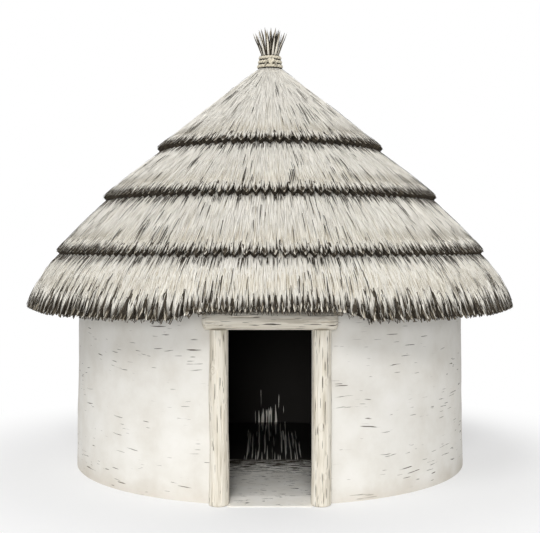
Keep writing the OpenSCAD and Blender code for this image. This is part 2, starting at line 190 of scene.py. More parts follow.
# Knots are (angle from the front, place along, size, rise), cracks (angle, start, end, wander)
LEFT_KNOTS = ((-0.55, 1.33, 0.05, 0.01), (-0.75, 0.62, 0.045, 0.009), (0.9, 0.98, 0.04, 0.007))
LEFT_CRACKS = ((-0.35, 1.42, 1.72, 0.1), (0.25, 0.0, 0.28, 0.1), (-0.5, 0.0, 0.3, 0.1),
               (0.45, 0.6, 1.05, 0.15), (-0.1, 1.0, 1.35, 0.2))
RIGHT_KNOTS = ((0.62, 1.22, 0.05, 0.01), (-0.15, 0.78, 0.045, 0.009), (0.3, 0.3, 0.04, 0.006))
RIGHT_CRACKS = ((0.1, 1.15, 1.5, 0.15), (-0.6, 0.9, 1.2, 0.1), (0.05, 0.0, 0.22, 0.1),
                (0.55, 0.5, 0.85, 0.15), (-0.35, 1.55, 1.72, 0.05))
LINTEL_KNOTS = ((0.15, 0.16, 0.05, 0.008), (-0.1, 1.17, 0.05, 0.008), (0.5, 0.7, 0.035, 0.005))
LINTEL_CRACKS = ((0.1, 0.0, 0.16, 0.1), (-0.05, 1.1, 1.33, 0.1), (-0.45, 0.25, 0.55, 0.1),
                 (0.2, 0.62, 0.85, 0.1), (-0.25, 0.72, 0.98, 0.1))

# Wall and floor. Unevenness is (height, waves).
WALL_GRID = 0.04
WALL_R = 2.2
JAMB_X = 0.41
END_FADE = 0.06
FOOT_EVEN = 0.3
DAUB_UNEVEN = ((0.009, 1.7), (0.004, 5.5))
FLOOR_UNEVEN = ((0.006, 2.1), (0.003, 7))
FLOOR_RINGS = 56
FLOOR_SIDES = 180

# The camera that the reference drawing's ellipses give
IMAGE_W = 540
FOCAL_PX = 1039.6
CAMERA_Y = -12.28
CAMERA_Z = 2.64
CAMERA_PITCH = 1.786
SENSOR_MM = 36.0


@dataclass
class Hem:
    """How the hem of a course is dressed."""
    droop: float  # degrees by which its straw hangs steeper than the face
    notch: float  # depth of the notches between bundles
    most: int  # most teeth to a bundle
    thick: float  # how far in behind the face cut straw lies at most
    short: float  # how far short of the hem its ends stop, as a share of a notch
    per_gap: int  # dark wedges beside each tooth
    per_wall: int  # cut straws on each wall of a notch
    # Cut straw in the notches is dark as painted shade, at most as pale as palest.
    palest: float  # tone of the palest cut straw


UPPER_HEM = Hem(droop=10, notch=0.085, most=3, thick=0.07, short=-0.1, per_gap=1, per_wall=5, palest=0.15)
EAVES_HEM = Hem(droop=8, notch=0.175, most=2, thick=0.12, short=0.3, per_gap=2, per_wall=8, palest=0.4)


# Meshes

def node_vertices(node):
    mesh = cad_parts[node].data
    co = np.zeros(len(mesh.vertices) * 3, np.float32)
    mesh.vertices.foreach_get("co", co)
    return co.reshape(-1, 3).astype(float)


def triangle_mesh(name, points, triangles):
    """A mesh object from arrays of points and triangles."""
    mesh = bpy.data.meshes.new(name)
    mesh.vertices.add(len(points))
    mesh.vertices.foreach_set("co", np.asarray(points, np.float32).ravel())
    mesh.loops.add(3 * len(triangles))
    mesh.loops.foreach_set("vertex_index", np.asarray(triangles, np.int32).ravel())
    mesh.polygons.add(len(triangles))
    mesh.polygons.foreach_set("loop_start", np.arange(0, 3 * len(triangles), 3, dtype=np.int32))
    mesh.update(calc_edges=True)
    return link(name, mesh)


def face_mesh(name, points, faces, sharp_angle=None):
    """A smooth mesh object, with edges sharp past an angle in degrees."""
    mesh = bpy.data.meshes.new(name)
    mesh.from_pydata([tuple(p) for p in points], [], faces)
    mesh.polygons.foreach_set("use_smooth", [True] * len(mesh.polygons))
    if sharp_angle:
        mesh.set_sharp_from_angle(angle=radians(sharp_angle))
    mesh.update()
    return link(name, mesh)


def link(name, data):
    piece = bpy.data.objects.new(name, data)
    bpy.context.scene.collection.objects.link(piece)
    return piece


def join(name, pieces):
    """One object from several meshes."""
    for piece in bpy.context.selected_objects:
        piece.select_set(False)
    for piece in pieces:
        piece.select_set(True)
    bpy.context.view_layer.objects.active = pieces[0]
    bpy.ops.object.join()
    pieces[0].name = pieces[0].data.name = name
    return pieces[0]


def point_value(piece, name, values):
    """One number for each vertex, which a material reads by its name."""
    attribute = piece.data.attributes.new(name, "FLOAT", "POINT")
    attribute.data.foreach_set("value", np.asarray(values, np.float32).ravel())


def polar(r, azimuth, z):
    return r * cos(azimuth), r * sin(azimuth), z


def merge(parts):
    """One list of points and one of faces from several."""
    points, faces = [], []
    for more, more_faces in parts:
        faces += [tuple(v + len(points) for v in face) for face in more_faces]
        points += more
    return points, faces


def unit(vectors):
    return vectors / np.maximum(np.linalg.norm(vectors, axis=-1, keepdims=True), 1e-9)


def turn(sides):
    """Angles of a full turn in equal steps."""
    return [tau * k / sides for k in range(sides)]


def band(a, b, sides, flip=False):
    """Quads between the rings of points that start at a and b."""
    quads = [(a + k, a + (k + 1) % sides, b + (k + 1) % sides, b + k) for k in range(sides)]
    return [(p, s, r, q) for p, q, r, s in quads] if flip else quads


def tube_faces(rings, sides, closed=False):
    """Quads from ring to ring, and a face over each end if the rings aren't closed."""
    faces = []
    for i in range(rings if closed else rings - 1):
        faces += band(i * sides, (i + 1) % rings * sides, sides)
    if not closed:
        faces += [tuple(range(sides))[::-1], tuple(range((rings - 1) * sides, rings * sides))]
    return faces


def uneven(p, waves):
    return sum(height * noise.noise(p * scale) for height, scale in waves)


def dress(piece, material):
    piece.data.materials.append(material)
    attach(piece, "root")


def blades(name, paths, ups, width, thick, tone, taper, dark_tip=0.0):
    """Closed three-sided blades of grass on paths (blade, point, xyz) that end at the tips.

    thick is a share of the width."""
    count, rings = paths.shape[0], paths.shape[1] - 1
    along = unit(paths[:, -1] - paths[:, 0])
    side = unit(np.cross(along, ups))
    up = np.cross(side, along)
    taper = np.asarray(taper)[None, :]
    half = 0.5 * width[:, None] * taper
    centre = paths[:, :rings]
    left = centre - side[:, None] * half[..., None]
    right = centre + side[:, None] * half[..., None]
    ridge = centre + up[:, None] * ((thick * width)[:, None] * taper)[..., None]
    corners = np.stack([left, right, ridge], axis=2).reshape(count, rings * 3, 3)
    points = np.concatenate([corners, paths[:, -1:]], axis=1)
    one = [(0, 2, 1)]
    for ring in range(rings - 1):
        a, b = 3 * ring, 3 * (ring + 1)
        for k in range(3):
            n = (k + 1) % 3
            one += [(a + k, a + n, b + n), (a + k, b + n, b + k)]
    last, tip = 3 * (rings - 1), 3 * rings
    one += [(last + k, last + (k + 1) % 3, tip) for k in range(3)]
    triangles = np.array(one)[None] + (np.arange(count) * points.shape[1])[:, None, None]
    piece = triangle_mesh(name, points.reshape(-1, 3), triangles.reshape(-1, 3))
    tones = np.repeat(tone[:, None], points.shape[1], axis=1)
    tones[:, last:tip] -= TIP_RING_SHARE * dark_tip
    tones[:, tip] -= dark_tip
    point_value(piece, "tone", tones)
    return piece


# Thatch

class Course:
    """The outer face of one course, by the length s down its slope from where it starts to show."""

    def __init__(self, node, start_r, hem, trim=None):
        self.node, self.hem, self.at_peak = node, hem, node == COURSES[0]
        co = node_vertices(node)
        self.hem_r = np.hypot(co[:, 0], co[:, 1]).max()
        self.per_bay = round(self.hem_r * BAY / BUNDLE_W)
        self.bundle = BAY / self.per_bay
        polygons = [tuple(p.vertices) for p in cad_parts[node].data.polygons]
        self.tree = BVHTree.FromPolygons([Vector(c) for c in co], polygons)
        first = start_r + OFF_SHEAF if self.at_peak else start_r - UNDER_HEM
        radii = np.linspace(first, self.hem_r - INSIDE_HEM, FACE_SAMPLES)
        face_z = np.array([self.height(r) for r in radii])
        s = np.r_[0, np.cumsum(np.hypot(np.diff(radii), np.diff(face_z)))]
        s = s - np.interp(start_r, radii, s)
        self.end = s[-1]
        slope = np.arctan2(-np.gradient(face_z), np.gradient(radii))
        last = slope[-1] + radians(hem.droop)
        self.s = np.r_[s[0] - BEFORE, s, self.end + AFTER]
        self.r = np.r_[radii[0] - BEFORE * cos(slope[0]), radii, radii[-1] + AFTER * cos(last)]
        self.z = np.r_[face_z[0] + BEFORE * sin(slope[0]), face_z, face_z[-1] - AFTER * sin(last)]
        self.slope = np.r_[slope[0], slope, last]
        self.trim_half, trim_z = trim or (0.0, self.z[-2])
        self.trim_end = np.interp(-trim_z, -self.z, self.s)
        samples = BAYS * self.per_bay * LINE_SAMPLES
        self.line_azimuth = np.linspace(0, tau, samples, endpoint=False) + PAST_SEAM
        self.line_s = np.array([self.face_end(azimuth) for azimuth in self.line_azimuth])

    def height(self, r):
        """Height of the face at a distance from the axis, off the notches of the hem."""
        starts = (Vector(polar(r, azimuth, FAR_ABOVE)) for azimuth in self.bundles()[: 2 * self.per_bay])
        hits = (self.tree.ray_cast(start, Vector((0, 0, -1)))[0] for start in starts)
        return max(hit.z for hit in hits if hit)

    def face_end(self, azimuth):
        """The s at which the face ends at an azimuth, on a bundle's tip or up in a notch."""
        for s in np.arange(self.end, self.end - DEEPEST_NOTCH, -LINE_STEP):
            start, up = self.at(s, azimuth, PROBE_LIFT), self.up(s, azimuth)
            if self.tree.ray_cast(Vector(start), -Vector(up), PROBE_REACH)[0]:
                return s
        return self.end

    def line(self, azimuth):
        return np.interp(azimuth, self.line_azimuth, self.line_s, period=tau)

    def radius(self, s):
        return np.maximum(np.interp(s, self.s, self.r), LEAST_R)

    def at(self, s, azimuth, lift):
        """Points that stand off the face by lift."""
        slope = np.interp(s, self.s, self.slope)
        r = self.radius(s) + lift * np.sin(slope)
        z = np.interp(s, self.s, self.z) + lift * np.cos(slope)
        return np.stack([r * np.cos(azimuth), r * np.sin(azimuth), z], axis=-1)

    def up(self, s, azimuth):
        """Directions square to the face."""
        slope = np.interp(s, self.s, self.slope)
        out = np.sin(slope)
        return np.stack([out * np.cos(azimuth), out * np.sin(azimuth), np.cos(slope)], axis=-1)

    def trimmed(self, azimuth, margin=0.0):
        """1 where the hem is trimmed short over the doorway, falling to 0 over a margin at each side."""
        if not self.trim_half:
            return np.zeros_like(azimuth)
        past = np.abs(self.hem_r * np.cos(azimuth)) - self.trim_half
        share = np.clip(1 - past / max(margin, 1e-6), 0, 1)
        return np.where(np.sin(azimuth) < 0, share, 0.0)

    def edge(self, azimuth):
        """The s of the hem at an azimuth, and the depth of its notches."""
        share = self.trimmed(azimuth, DOOR_TRIM_SLOPE)
        notch = self.hem.notch - share * (self.hem.notch - DOOR_NOTCH)
        return self.end - share * (self.end - self.trim_end), notch

    def bundles(self):
        """Azimuths of the middles of the bundles, from bay to bay."""
        n = self.per_bay
        return np.array([(bay - 0.5) * BAY + (j + 0.5) * BAY / n for bay in range(BAYS) for j in range(n)])

    def free_bundles(self):
        """Azimuths of the bundles beside the stretch over the doorway."""
        centres = self.bundles()
        return centres[self.trimmed(centres) < 0.5]

    def trimmed_teeth(self):
        """The x of the teeth over the doorway, their width and their distance from the axis."""
        n = round(2 * self.trim_half / DOOR_TOOTH_W)
        x = self.trim_half * ((2 * np.arange(n) + 1) / n - 1)
        return x, 2 * self.trim_half / n, self.radius(self.trim_end)

    def notch_walls(self):
        """Azimuths of a tip and of the point of a notch beside it, for each wall of each notch."""
        tips, half = self.free_bundles(), 0.5 * self.bundle
        tips, half = np.repeat(tips, 2), np.tile([-half, half], len(tips))
        if self.trim_half:
            x, width, r = self.trimmed_teeth()
            tips = np.r_[tips, np.repeat(FRONT + np.arcsin(x / r), 2)]
            half = np.r_[half, np.tile([-0.5 * width / r, 0.5 * width / r], len(x))]
        return tips, tips + half


def lay(course, name, root, tip, width, thick, tone, bow=STEM_BOW, taper=STEM_TAPER):
    """Blades on a course, each from a root to a tip given as (s, azimuth, lift) arrays."""
    middle = [0.5 * (a + b) for a, b in zip(root, tip)]
    middle[2] = middle[2] + bow
    paths = np.stack([course.at(*root), course.at(*middle), course.at(*tip)], axis=1)
    return blades(name, paths, course.up(middle[0], middle[1]), width, thick, tone, taper)


def straw_field(course, rng):
    """Long stems laid down the slope, row over row."""
    s_tip, azimuth = [], []
    for row in np.arange(course.end, FIRST_ROW, -ROW_STEP):
        n = int(tau * course.radius(row) / STEM_PITCH)
        s_tip.append(np.full(n, row))
        azimuth.append((np.arange(n) + rng.uniform(0, 1, n)) * tau / n)
    s_tip, azimuth = np.concatenate(s_tip), np.concatenate(azimuth)
    s_tip = s_tip + rng.uniform(-0.5, 0.5, len(s_tip)) * ROW_STEP
    edge, notch = course.edge(azimuth)
    keep = s_tip < edge - notch
    s_tip, azimuth = s_tip[keep], azimuth[keep]
    n, r = len(s_tip), course.radius(s_tip)
    length = STEM_L * rng.uniform(0.8, 1.2, n)
    root_s = np.maximum(s_tip - length, PEAK_ROOT if course.at_peak else HIDDEN_ROOT)
    depth = rng.uniform(*STEM_DEPTH, n)
    lean = rng.normal(0, STEM_LEAN, n) / np.maximum(r, CROWDED_R)
    root, tip = (root_s, azimuth, depth - ROOT_SINK), (s_tip, azimuth + lean, depth + TIP_RISE)
    width = rng.uniform(*STEM_W, n) * np.minimum(1.0, PEAK_NARROWING + r)
    tone = STEM_TONE + rng.normal(0, TONE_SPREAD, n)
    return lay(course, course.node + "_straw", root, tip, width, 0.18, tone)


def hem_teeth(course, rng):
    """Azimuth, width, end and notch depth of each tooth, with the most to a bundle or one fewer."""
    azimuth, width = [], []
    for centre in course.free_bundles():
        count = course.hem.most - rng.integers(0, 2)
        cuts = np.arange(1, count) / count + rng.uniform(-0.3, 0.3, count - 1) / count
        borders = np.r_[0, cuts, 1]
        azimuth += list(centre + (0.5 * (borders[1:] + borders[:-1]) - 0.5) * course.bundle)
        width += list(np.diff(borders) * course.bundle)
    if course.trim_half:
        x, tooth_w, r = course.trimmed_teeth()
        azimuth += list(FRONT + np.arcsin((x + rng.uniform(-0.1, 0.1, len(x)) * tooth_w) / r))
        width += [tooth_w / r] * len(x)
    azimuth, width = np.array(azimuth), np.array(width)
    n = len(azimuth)
    edge, notch = course.edge(azimuth)
    narrow = np.clip(1 - width / (course.bundle / (course.hem.most - 0.5)), 0, 1)
    short = np.clip(0.3 * narrow + rng.normal(0.05, 0.2, n), -0.15, 0.6)
    width = width * rng.uniform(0.85, 1.1, n)
    return azimuth, width, edge - notch * short, notch * rng.uniform(0.75, 1.1, n)


def tooth_straw(course, rng, teeth):
    """Pale straw of the teeth, drawn together towards each tip."""
    width = teeth[1]
    swing = rng.normal(0, TOOTH_SWING, len(width)) * width
    count = np.maximum(4, np.round(width * course.hem_r / TOOTH_STEM_PITCH)).astype(int)
    pick = np.repeat(np.arange(len(count)), count)
    azimuth, width, edge, notch, swing = (values[pick] for values in (*teeth, swing))
    n = len(pick)
    place = np.arange(n) - np.repeat(np.cumsum(count) - count, count)
    u = (place + rng.uniform(0, 1, n)) / count[pick] - 0.5
    tip_s = edge - notch * (1.7 * np.abs(u) ** TOOTH_CURVE + rng.normal(0.0, 0.05, n))
    root_s = edge - notch * rng.uniform(1.2, 2.6, n) - 0.05
    lift = rng.uniform(*TOOTH_LIFT, n)
    root = (root_s, azimuth + 1.1 * u * width, np.full(n, -TOOTH_SINK))
    tip = (tip_s, azimuth + 0.68 * u * width + swing, lift)
    stem_w = rng.uniform(*TOOTH_STEM_W, n)
    tone = TOOTH_TONE + rng.normal(0, TONE_SPREAD, n)
    return lay(course, "teeth", root, tip, stem_w, 0.3, tone, bow=TOOTH_BOW)


def painted_shade_straw(course, rng):
    """Straw painted dark as shade on the hem and over the bundles' tips, which shows between the teeth."""
    n = int(tau * course.hem_r / SHADE_PITCH)
    azimuth = rng.uniform(0, tau, n)
    line, notch = course.line(azimuth), course.edge(azimuth)[1]
    tip_s = line - notch * 0.3 * rng.uniform(0, 1, n) ** 3 + rng.uniform(0.004, 0.034, n)
    root = (line - notch * rng.uniform(0.5, 1.0, n), azimuth, np.full(n, 0.001))
    tip = (tip_s, azimuth + rng.normal(0, 0.003, n), rng.uniform(0.001, 0.004, n))
    width = rng.uniform(*SHADE_W, n)
    # Tones near 0: painted shade between the teeth.
    return lay(course, "shade", root, tip, width, 0.2, rng.uniform(0, 0.22, n), taper=NO_TAPER)


def wall_straw(course, rng):
    """Cut straw on both walls of each notch, from a bundle's tip up to the notch's point, dark as painted
    shade.
    """
    count = course.hem.per_wall
    tips, points = (np.repeat(a, count) for a in course.notch_walls())
    n = len(tips)
    away = np.sign(points - tips)
    inward = -(np.arange(n) % count + rng.uniform(0.1, 0.9, n)) / count * course.hem.thick
    off = away * rng.uniform(*WALL_BLADE_OFF, n) / course.hem_r
    low_at = tips + TIP_SHARE * (points - tips) + off
    low_s = course.line(tips) - WALL_TIP_SPREAD * rng.uniform(0, 1, n) ** 2 + WALL_TIP_DROP
    low = course.at(low_s, low_at, inward)
    high = course.at(course.line(points), points, inward)
    out = np.stack([-np.sin(low_at) * away, np.cos(low_at) * away, np.zeros(n)], axis=-1)
    paths = np.stack([low, 0.5 * (low + high), high], axis=1)
    width = rng.uniform(*CUT_W, n)
    # Dark tones: painted shade on the walls of the notches.
    tone = course.hem.palest * rng.uniform(0, 1, n) ** 1.6
    return blades("walls", paths, out, width, 0.3, tone, NO_TAPER)


def cut_ends(course, rng):
    """Ends of straw, near black as painted shade, that close the notches from behind."""
    n = int(tau * course.hem_r / CUT_PITCH)
    azimuth = rng.uniform(0, tau, n)
    edge, notch = course.edge(azimuth)
    inward = -rng.uniform(0.4, 0.95, n) * course.hem.thick
    tip_s = edge - notch * (course.hem.short + rng.uniform(-0.25, 0.25, n))
    root = (tip_s - rng.uniform(*CUT_L, n), azimuth, inward)
    tip = (tip_s, azimuth + rng.normal(0, 0.004, n), inward - 0.004)
    width = rng.uniform(*CUT_W, n)
    # Tones near 0: painted shade behind the notches.
    return lay(course, "ends", root, tip, width, 0.5, rng.uniform(0, 0.1, n))


def gap_wedges(course, rng, teeth):
    """Near-black wedges of painted shade beside the teeth, broad at the hem, that run up the face as thin
    stalks.
    """
    azimuth, width, edge, notch = (np.repeat(values, course.hem.per_gap) for values in teeth)
    n = len(azimuth)
    start = edge - notch * rng.uniform(0.15, 0.5, n)
    length = 0.07 + 0.25 * notch + np.minimum(rng.exponential(0.04, n), 0.22)
    border = azimuth + width * (0.5 + rng.normal(0, 0.05, n))
    lift = np.full(n, WEDGE_LIFT)
    root, tip = (start, border, lift), (start - length, border + rng.normal(0, 0.003, n), lift + WEDGE_RISE)
    wedge_w = width * course.hem_r * rng.uniform(0.12, 0.34, n)
    # Tones near 0: painted shade in the gaps between teeth.
    tone = rng.uniform(0, 0.05, n)
    return lay(course, "gaps", root, tip, wedge_w, WEDGE_T / wedge_w, tone, taper=WEDGE_TAPER)


def hem_fringe(course, rng):
    teeth = hem_teeth(course, rng)
    pieces = [tooth_straw(course, rng, teeth), painted_shade_straw(course, rng), wall_straw(course, rng),
              cut_ends(course, rng), gap_wedges(course, rng, teeth)]
    return join(course.node + "_fringe", pieces)


def dark_stalks(course, rng):
    """Dark stalks on the face, in small groups, and more of them under the hem above as its painted shadow.
    """
    groups = int(STALKS_PER_M2 * pi * (course.radius(0) + course.hem_r) * course.end)
    pick = np.repeat(np.arange(groups), rng.integers(1, MOST_TOGETHER + 1, groups))
    n = len(pick)
    group_at = rng.uniform(0, tau, groups)
    group_s = course.end * np.sqrt(rng.uniform(0.02, 1.0, groups))
    tip_s = group_s[pick] + rng.normal(0, STALK_ALONG, n)
    azimuth = group_at[pick] + rng.normal(0, STALK_ASIDE, n) / course.radius(tip_s)
    length = rng.uniform(*STALK_L, n)
    # Under the hem above, a fringe of dark stalks is painted shadow.
    painted_shadow_count = 0 if course.at_peak else int(tau * course.radius(0) / SHADED_PITCH)
    reach = np.minimum(SHADED_LEAST + rng.exponential(SHADED_MORE, painted_shadow_count), SHADED_MOST)
    azimuth = np.r_[azimuth, rng.uniform(0, tau, painted_shadow_count)]
    tip_s, length = np.r_[tip_s, reach], np.r_[length, reach + UNDER_HEM]
    edge, notch = course.edge(azimuth)
    tip_s = np.minimum(tip_s, edge - notch)
    n = len(azimuth)
    lift = rng.uniform(*STALK_LIFT, n)
    root, tip = (tip_s - length, azimuth, lift), (tip_s, azimuth + rng.normal(0, 0.004, n), lift)
    width = rng.uniform(*STALK_W, n)
    return lay(course, course.node + "_stalks", root, tip, width, 0.3, rng.uniform(0, 0.1, n))


def thatch():
    start_r = PEAK_R
    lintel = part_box("lintel")[1]
    pieces = []
    for i, node in enumerate(COURSES):
        rng = np.random.default_rng(20 + i)
        if node == COURSES[-1]:
            course = Course(node, start_r, EAVES_HEM, (lintel.x, lintel.z + DOOR_TRIM_GAP))
        else:
            course = Course(node, start_r, UPPER_HEM)
        fringe = hem_fringe(course, rng)
        pieces += [straw_field(course, rng), dark_stalks(course, rng), fringe]
        start_r = course.hem_r
    for piece in pieces:
        dress(piece, straw)


# Finial

def tube(path, radius, sides, closed):
    """Points and faces of a round tube on a path, with its ends closed if the path is open."""
    path = np.asarray(path, float)
    ahead = np.roll(path, -1, 0) - np.roll(path, 1, 0)
    if not closed:
        ahead[0], ahead[-1] = path[1] - path[0], path[-1] - path[-2]
    ahead = unit(ahead)
    side = unit(np.cross(ahead[0], (0.31, 0.17, 0.93)))
    points = []
    for centre, direction in zip(path, ahead):
        side = unit(side - direction * np.dot(side, direction))
        other = np.cross(direction, side)
        points += [centre + radius * (cos(a) * side + sin(a) * other) for a in turn(sides)]
    return points, tube_faces(len(path), sides, closed)


def rope(path):
    """The strands of a twisted rope on a closed path, and how far out of its middle each point is.

    That is a share, and is less where the rope faces the turns above and below; the rope's material paints
    shade where it is low."""
    step = np.linalg.norm(np.roll(path, -1, 0) - path, axis=1)
    run = np.r_[0, np.cumsum(step[:-1])]
    total = step.sum()
    turns = max(1, round(total / ROPE_PITCH))
    side = unit(np.cross(unit(np.gradient(path, axis=0)), (0.0, 0.0, 1.0)))
    other = np.cross(side, unit(np.gradient(path, axis=0)))
    strands = []
    for k in range(ROPE_STRANDS):
        a = tau * (turns * run / total + k / ROPE_STRANDS)
        strand = path + STRAND_OFF * ROPE_R * (np.cos(a)[:, None] * side + np.sin(a)[:, None] * other)
        strands.append(tube(strand, STRAND_R * ROPE_R, STRAND_SIDES, True))
    points, faces = merge(strands)
    centres = np.tile(np.repeat(path, STRAND_SIDES, axis=0), (ROPE_STRANDS, 1))
    out = (np.array(points) - centres) / ROPE_R
    return points, faces, np.linalg.norm(out, axis=1) - 3.0 * np.clip(np.abs(out[:, 2]) - 0.6, 0, 1)


def binding():
    """Turns of rope round the sheaf, each tighter than the one below, and a knot in front."""
    low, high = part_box("finial_binding")
    turn_rise = (high.z - low.z - 2 * ROPE_R) / (ROPE_TURNS - 1)
    first_r = high.x - ROPE_R
    parts = []
    a = np.linspace(0, tau, TURN_SAMPLES, endpoint=False)
    for k in range(ROPE_TURNS):
        r, z = first_r - ROPE_DRAW * k, low.z + ROPE_R + turn_rise * k
        circle = np.stack([r * np.cos(a), r * np.sin(a), np.full_like(a, z)], axis=1)
        parts.append(rope(circle))
    knot = np.array((KNOT_X, -(first_r - ROPE_DRAW + ROPE_R + KNOT_PROUD), low.z + ROPE_R + turn_rise))
    t = np.linspace(0, tau, KNOT_SAMPLES, endpoint=False)
    across, deep, tall = np.sin(t) + 2 * np.sin(2 * t), -np.sin(3 * t), np.cos(t) - 2 * np.cos(2 * t)
    trefoil = np.stack([across, deep, tall], axis=1) / 3 * KNOT_HALF + knot
    loops, loop_faces = tube(trefoil, KNOT_ROPE_R, KNOT_SIDES, True)
    # The knot is painted paler on its front and darker behind: painted light and shade.
    front = (np.repeat(trefoil[:, 1], KNOT_SIDES) - np.array(loops)[:, 1]) / KNOT_ROPE_R
    parts.append((loops, loop_faces, ROPE_DEPTH + 0.2 * front))
    for side in (-1, 1):
        tail, tail_faces = tube(knot + np.array(KNOT_TAIL) * (side, 1, 1), TAIL_R, STRAND_SIDES, False)
        parts.append((tail, tail_faces, np.full(len(tail), ROPE_DEPTH)))
    piece = face_mesh("finial_rope", *merge(part[:2] for part in parts), 50)
    point_value(piece, "depth", np.concatenate([part[2] for part in parts]))
    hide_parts("finial_binding")
    dress(piece, rope_fibre)


def tuft():
    """Long blades of grass, held by the rope and spread above it in broad spikes."""
    low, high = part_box("finial_binding")
    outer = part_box("finial_tuft")[1]
    spread, top = outer.x, outer.z
    sheaf = [(r, low.z + z) for r, z in SHEAF_LOW] + [(r, high.z + z) for r, z in SHEAF_HIGH]
    rng = np.random.default_rng(7)
    rows = []

    def blade(a0, share, a1, tip_r, tip_z, w, shade):
        """One blade, from the azimuth a0 at a share of the sheaf's radius to a tip at the azimuth a1."""
        out = Vector(polar(1, a0, 0))
        path = [(r * share * out.x, r * share * out.y, z) for r, z in sheaf]
        mouth_r, mouth_z = sheaf[-1][0] * share, sheaf[-1][1]
        for t, sag in SPIKE_SAG:
            r, a = mouth_r + t * (tip_r - mouth_r) - sag, a0 + t * (a1 - a0)
            path.append(polar(r, a, mouth_z + t * (tip_z - mouth_z)))
        rows.append((path, out, w, shade))

    rings = ((spread, RIM_SPIKES, RIM_DROP, 1.0), (INNER_SHARE * spread, INNER_SPIKES, 0.0, 0.6))
    for ring_r, count, drop, share in rings:
        for k in range(count):
            a = tau * (k + rng.uniform(-0.2, 0.2)) / count
            tip_r = ring_r * rng.uniform(0.86, 1.0)
            tip_z = top - drop - abs(rng.normal(0, 0.014))
            for j in range(SPIKE_BLADES):
                u = (j + 0.5) / SPIKE_BLADES - 0.5
                root_a, end_a = a + 5.2 * u / count, a + 1.1 * u / count
                short = SPIKE_SHORTER * abs(u) + abs(rng.normal(0, 0.004))
                base_tone = 0.08 if j in (0, SPIKE_BLADES - 1) else 0.78 - 0.5 * (1 - share)
                blade(root_a, share * rng.uniform(0.9, 1.0), end_a, tip_r - 0.3 * short, tip_z - short,
                      rng.uniform(*SPIKE_W), base_tone + rng.normal(0, 0.07))
    for k in range(LOOSE_BLADES):
        a = rng.uniform(0, tau)
        share = sqrt(rng.uniform(0.1, 1.0))
        blade(a, share, a + rng.normal(0, 0.12), share * spread * rng.uniform(0.7, 0.95),
              top - 0.04 - abs(rng.normal(0, 0.05)), rng.uniform(*LOOSE_W), rng.uniform(0.02, 0.5))
    paths, ups, width, tone = (np.array(values) for values in zip(*rows))
    grass = blades("grass", paths, ups, width, 0.4, tone, SPIKE_TAPER, dark_tip=0.6)
    piece = join("finial_grass", [grass, tuft_core(low, high)])
    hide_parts("finial_tuft")
    dress(piece, straw)


def tuft_core(low, high):
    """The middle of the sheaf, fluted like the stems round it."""
    outline = ((0.1, low.z - 0.1), (0.092, low.z), (0.074, high.z - 0.03), (0.085, high.z + 0.015),
               (0.075, high.z + 0.06), (0.02, high.z + 0.12))
    points = []
    for r, z in outline:
        points += [polar(r * (1 + 0.03 * sin(CORE_FLUTES * a)), a, z) for a in turn(CORE_SIDES)]
    piece = face_mesh("core", points, tube_faces(len(outline), CORE_SIDES))
    point_value(piece, "tone", np.full(len(points), CORE_TONE))
    return piece


# Logs

def bump(distance, size):
    """A smooth bump, 1 at distance 0 and 0 past size."""
    t = max(0.0, 1 - distance / size)
    return t * t * (3 - 2 * t)


def turned(u, v):
    """The angle from v to u, between minus and plus half a turn."""
    return (u - v + pi) % tau - pi


